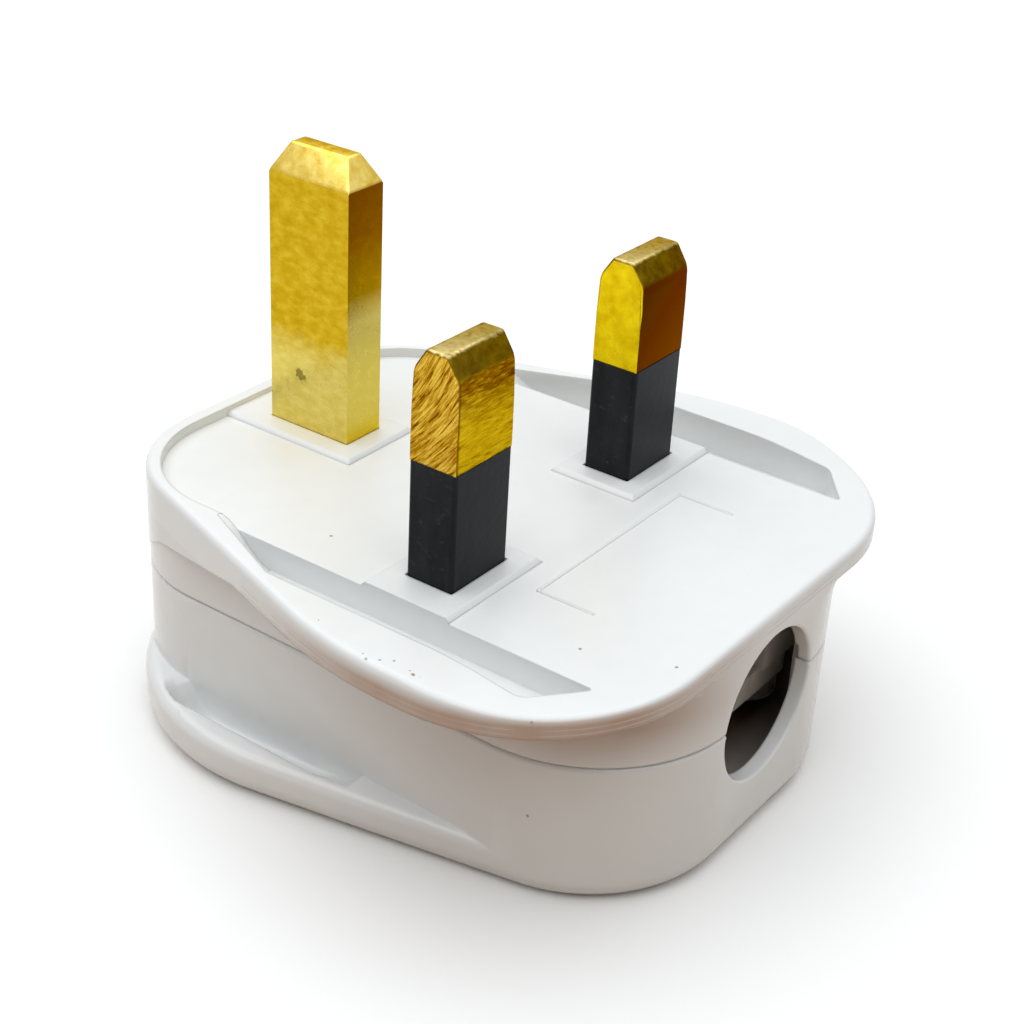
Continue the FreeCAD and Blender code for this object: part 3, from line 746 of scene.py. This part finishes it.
neutral_bar = softened_bar("neutral_pin", "neutral_bar", sleeve_top, power_pin_roll)
neutral_bar.data.materials.append(bar_brass("neutral_brass", neutral_colour, 0.30))


# Live pin: the same bar, cut off with a coarse saw, so its narrow side keeps slanting saw marks
# and its wide side a fine ripple across; its hollows are darker brown. The wide side's brown towards the tip
# is painted reflection, and a dark line along its arris is a painted shadow.

saw_centre = (16.0, 45.0)
saw_fineness = 4.6
saw_breaks = 7.0
saw_depth = 0.11
umber_reflection_height = (33.6, 36.2)
arris_shadow_span = (-13.95, -14.12)
arris_shadow_brown = (0.12, 0.045, 0.003)


def saw_relief(tree):
    """Arcs left by the saw blade, uneven in depth and length."""
    split = add_node(tree, "ShaderNodeSeparateXYZ", Vector=object_point(tree))
    away_y = math_of(tree, "SUBTRACT", split.outputs["Y"], saw_centre[0])
    away_z = math_of(tree, "SUBTRACT", split.outputs["Z"], saw_centre[1])
    radius = math_of(tree, "SQRT", math_of(tree, "ADD", product(tree, away_y, away_y),
                                           product(tree, away_z, away_z)))
    arc = math_of(tree, "ARCTAN2", away_z, away_y)
    place = add_node(tree, "ShaderNodeCombineXYZ", X=product(tree, radius, saw_fineness),
                     Y=product(tree, arc, saw_breaks))
    return noise(tree, place.outputs["Vector"], 1.0, 7.0, 0.76)


def ripple_relief(tree):
    """Level ripples and pits, drawn out across the bar."""
    return noise(tree, object_point(tree, (0.5, 1, 2.7)), 1.6, 5.0, 0.64)


def live_relief(tree):
    """Saw marks on the narrow sides, ripples on the wide ones, none on the tip."""
    narrow = facing(tree, X_AXIS, both_ways=True)
    wide = facing(tree, Y_AXIS, 0.86, 0.97, both_ways=True)
    return math_of(tree, "ADD", product(tree, saw_relief(tree), narrow),
                   product(tree, ripple_relief(tree), wide))


def live_colour(tree, point):
    """Gold ridges over brown hollows; the wide side is browner towards the tip in painted reflection, with a
    painted shadow along its arris.
    """
    sawn = ramp(tree, saw_relief(tree), [(0.39, (0.12, 0.036, 0.001)), (0.475, (0.48, 0.235, 0.010)),
                                         (0.60, (0.84, 0.58, 0.09))])
    ripple = ripple_relief(tree)
    gold = ramp(tree, ripple, [(0.30, (0.24, 0.11, 0.001)), (0.42, (0.54, 0.34, 0.008)),
                               (0.68, (0.76, 0.53, 0.022))])
    umber = ramp(tree, ripple, [(0.36, (0.13, 0.045, 0.001)), (0.52, (0.28, 0.13, 0.002)),
                                (0.70, (0.58, 0.36, 0.012))])
    # Painted reflection: browner umber on the wide side towards the tip.
    high = span(tree, ragged_height(tree, point, 0.5, 3.0, 2.5), *umber_reflection_height)
    wide = mixed(tree, high, gold, umber)
    # Painted shadow: a dark brown line along the arris between the narrow and wide sides.
    arris = product(tree, axis_share(tree, point, "X", *arris_shadow_span), 0.75)
    wide = mixed(tree, arris, wide, arris_shadow_brown)
    colour = mixed(tree, facing(tree, Y_AXIS, 0.6, 0.85, both_ways=True), sawn, wide)
    return tip_colour(tree, point, colour)


live_bar = softened_bar("live_pin", "live_bar", sleeve_top, power_pin_roll)
live_bar.data.materials.append(bar_brass("live_brass", live_colour, 0.32, live_relief, saw_depth))


# Sleeves: black insulation moulded round the lower half of the live and neutral pins.
# It is dull, with pale scuffs and dust specks, most of them on the narrow sides.

dust_pale = (0.24, 0.22, 0.18)
scuff_pale = (0.30, 0.28, 0.24)


def black_sleeve(name):
    """Dull black nylon with pale specks and rubbed streaks."""
    material, tree, shader = blank_material(name)
    point = object_point(tree)
    rub = noise(tree, object_point(tree, (1, 1, 0.3)), 0.7, 5.0)
    black = ramp(tree, rub, [(0.4, (0.004, 0.005, 0.006)), (0.72, (0.012, 0.015, 0.017))])
    dust = product(tree, specks(tree, point, 0.8, (0.06, 0.11), (0.72, 0.74)), 0.45)
    colour = mixed(tree, dust, black, dust_pale)
    streaks = noise(tree, object_point(tree, (0.8, 0.7, 1.2), (25, 0, 0)), 1.3, 7.0, 0.72)
    scuff = product(tree, span(tree, streaks, 0.57, 0.72), 0.10, facing(tree, X_AXIS, both_ways=True))
    tree.links.new(mixed(tree, scuff, colour, scuff_pale), shader.inputs["Base Color"])
    tree.links.new(span(tree, rub, 0.3, 0.7, 0.34, 0.48), shader.inputs["Roughness"])
    shader.inputs["Specular IOR Level"].default_value = 0.14
    tree.links.new(bumped(tree, noise(tree, point, 1.6, 4.0), 0.02), shader.inputs["Normal"])
    return material


sleeve_black = black_sleeve("sleeve_black")
for side in ("live", "neutral"):
    sleeve = merged_copy(side + "_sleeve", side + "_pin_sleeve")
    sleeve.data.materials.append(sleeve_black)
    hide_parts(side + "_sleeve")
    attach(sleeve, "root")


# Inner metalwork, seen only through the cable entry: brass terminal, sprung clips, fuse and screws.
# The pieces are plain turned or pressed parts and keep their solids.

def plain_finish(name, light, dark, roughness, metallic):
    """Turned, pressed or moulded stock with a faint mottle."""
    material, tree, shader = blank_material(name)
    point = object_point(tree)
    cloud = noise(tree, point, 0.9, 4.0)
    tree.links.new(ramp(tree, cloud, [(0.35, dark), (0.65, light)]), shader.inputs["Base Color"])
    shader.inputs["Metallic"].default_value = metallic
    worn = span(tree, cloud, 0.3, 0.7, roughness - 0.05, roughness + 0.08)
    tree.links.new(worn, shader.inputs["Roughness"])
    tree.links.new(bumped(tree, noise(tree, point, 2.5, 2.0), 0.01), shader.inputs["Normal"])
    return material


terminal_brass = plain_finish("terminal_brass", (0.72, 0.50, 0.13), (0.56, 0.36, 0.07), 0.30, 1.0)
clip_bronze = plain_finish("clip_bronze", (0.70, 0.45, 0.20), (0.55, 0.32, 0.12), 0.32, 1.0)
plated_steel = plain_finish("plated_steel", (0.62, 0.62, 0.61), (0.48, 0.48, 0.47), 0.30, 1.0)
fuse_ceramic = plain_finish("fuse_ceramic", (0.86, 0.84, 0.79), (0.80, 0.77, 0.71), 0.25, 0.0)
washer_fibre = plain_finish("washer_fibre", (0.38, 0.09, 0.05), (0.28, 0.06, 0.03), 0.70, 0.0)
grip_plastic = plain_finish("grip_plastic", (0.50, 0.45, 0.40), (0.42, 0.37, 0.32), 0.55, 0.0)
inner_finishes = {
    "live_terminal": terminal_brass,
    "cover_nut": terminal_brass,
    "live_pin_clip": clip_bronze,
    "live_terminal_clip": clip_bronze,
    "fuse_tube": fuse_ceramic,
    "fuse_cap_pin_end": plated_steel,
    "fuse_cap_terminal_end": plated_steel,
    "earth_terminal_screw": plated_steel,
    "neutral_terminal_screw": plated_steel,
    "live_terminal_screw": plated_steel,
    "cord_grip": grip_plastic,
    "cord_grip_screw_live_side": plated_steel,
    "cord_grip_screw_neutral_side": plated_steel,
    "cover_screw": plated_steel,
    "cover_screw_retainer": washer_fibre,
}
for node, finish in inner_finishes.items():
    inner_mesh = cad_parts[node].data
    inner_mesh.materials.clear()
    inner_mesh.materials.append(finish)


# Floor and sky: a plain white sweep under the plug that shows white and still takes its shadow.
# The light that it throws back on the plug is a warmer tone.

floor_size = 0.9
floor_seen = (0.97, 0.97, 0.97)
floor_bounce = (0.64, 0.54, 0.45)
sky_seen = (1.0, 1.0, 1.0)
sky_bounce = (0.205, 0.20, 0.195)


def seen_directly(tree):
    """1 for rays of the camera, mirror images and see-through pieces, 0 for scattered light."""
    path = tree.nodes.new("ShaderNodeLightPath")
    seen = path.outputs["Is Camera Ray"]
    for ray in ("Is Glossy Ray", "Is Transmission Ray"):
        seen = math_of(tree, "MAXIMUM", seen, path.outputs[ray])
    return seen


def white_floor(name):
    """White where it is seen, shaded by the plug; a warmer tone in the light it throws back."""
    material, tree, shader = blank_material(name)
    colour = mixed(tree, seen_directly(tree), floor_bounce, floor_seen)
    tree.links.new(colour, shader.inputs["Base Color"])
    shader.inputs["Roughness"].default_value = 0.9
    shader.inputs["Specular IOR Level"].default_value = 0.0
    return material


work = bmesh.new()
bmesh.ops.create_grid(work, x_segments=1, y_segments=1, size=floor_size/2)
floor = finished_piece(work, "floor", white_floor("floor_white"))

world = bpy.data.worlds.new("studio")
bpy.context.scene.world = world
world.use_nodes = True
sky_tree = world.node_tree
sky_colour = mixed(sky_tree, seen_directly(sky_tree), sky_bounce, sky_seen)
sky_tree.links.new(sky_colour, sky_tree.nodes["Background"].inputs["Color"])


# Lamp: one broad cool soft box overhead, a little behind the earth pin.
# Its sizes and places are in millimetres and its power in watts.

lamp_place = Vector((-60, 110, 1000))
lamp_target = Vector((0, 5, 10))
lamp_width = 2000
lamp_power = 21.8
lamp_colour = (0.955, 0.985, 1.0)
lamp = bpy.data.lights.new("overhead", "AREA")
lamp.shape = "SQUARE"
lamp.size = lamp_width*MM
lamp.energy = lamp_power
lamp.color = lamp_colour
soft_box = bpy.data.objects.new("overhead", lamp)
bpy.context.scene.collection.objects.link(soft_box)
lamp_turn = (lamp_target - lamp_place).to_track_quat("-Z", "Y").to_matrix().to_4x4()
soft_box.matrix_world = Matrix.Translation(lamp_place*MM) @ lamp_turn


# Camera: where the photograph was taken, from the live side of the cable end.
# It aims between the pins and is tilted a little to one side.

view_azimuth = math.radians(-55.07)
view_elevation = math.radians(29.18)
view_roll = math.radians(3.22)
view_distance = 149.66
view_aim = Vector((0, 10, 20))
aim_right = 5.39
aim_up = -3.43
sensor_width = 36.0
focal_length = 67.28
nearest_seen = 10
back = Vector((math.sin(view_azimuth)*math.cos(view_elevation),
               -math.cos(view_azimuth)*math.cos(view_elevation), math.sin(view_elevation)))
level_right = Vector((math.cos(view_azimuth), math.sin(view_azimuth), 0))
level_up = back.cross(level_right)
right = level_right*math.cos(view_roll) + level_up*math.sin(view_roll)
up = level_up*math.cos(view_roll) - level_right*math.sin(view_roll)
eye = (view_aim + right*aim_right + up*aim_up + back*view_distance)*MM
camera_data = bpy.data.cameras.new("camera")
camera_data.sensor_width = sensor_width
camera_data.lens = focal_length
camera_data.clip_start = nearest_seen*MM
camera = bpy.data.objects.new("camera", camera_data)
bpy.context.scene.collection.objects.link(camera)
camera.matrix_world = Matrix.Translation(eye) @ Matrix((right, up, back)).transposed().to_4x4()
bpy.context.scene.camera = camera
bpy.context.scene.view_settings.view_transform = "Standard"
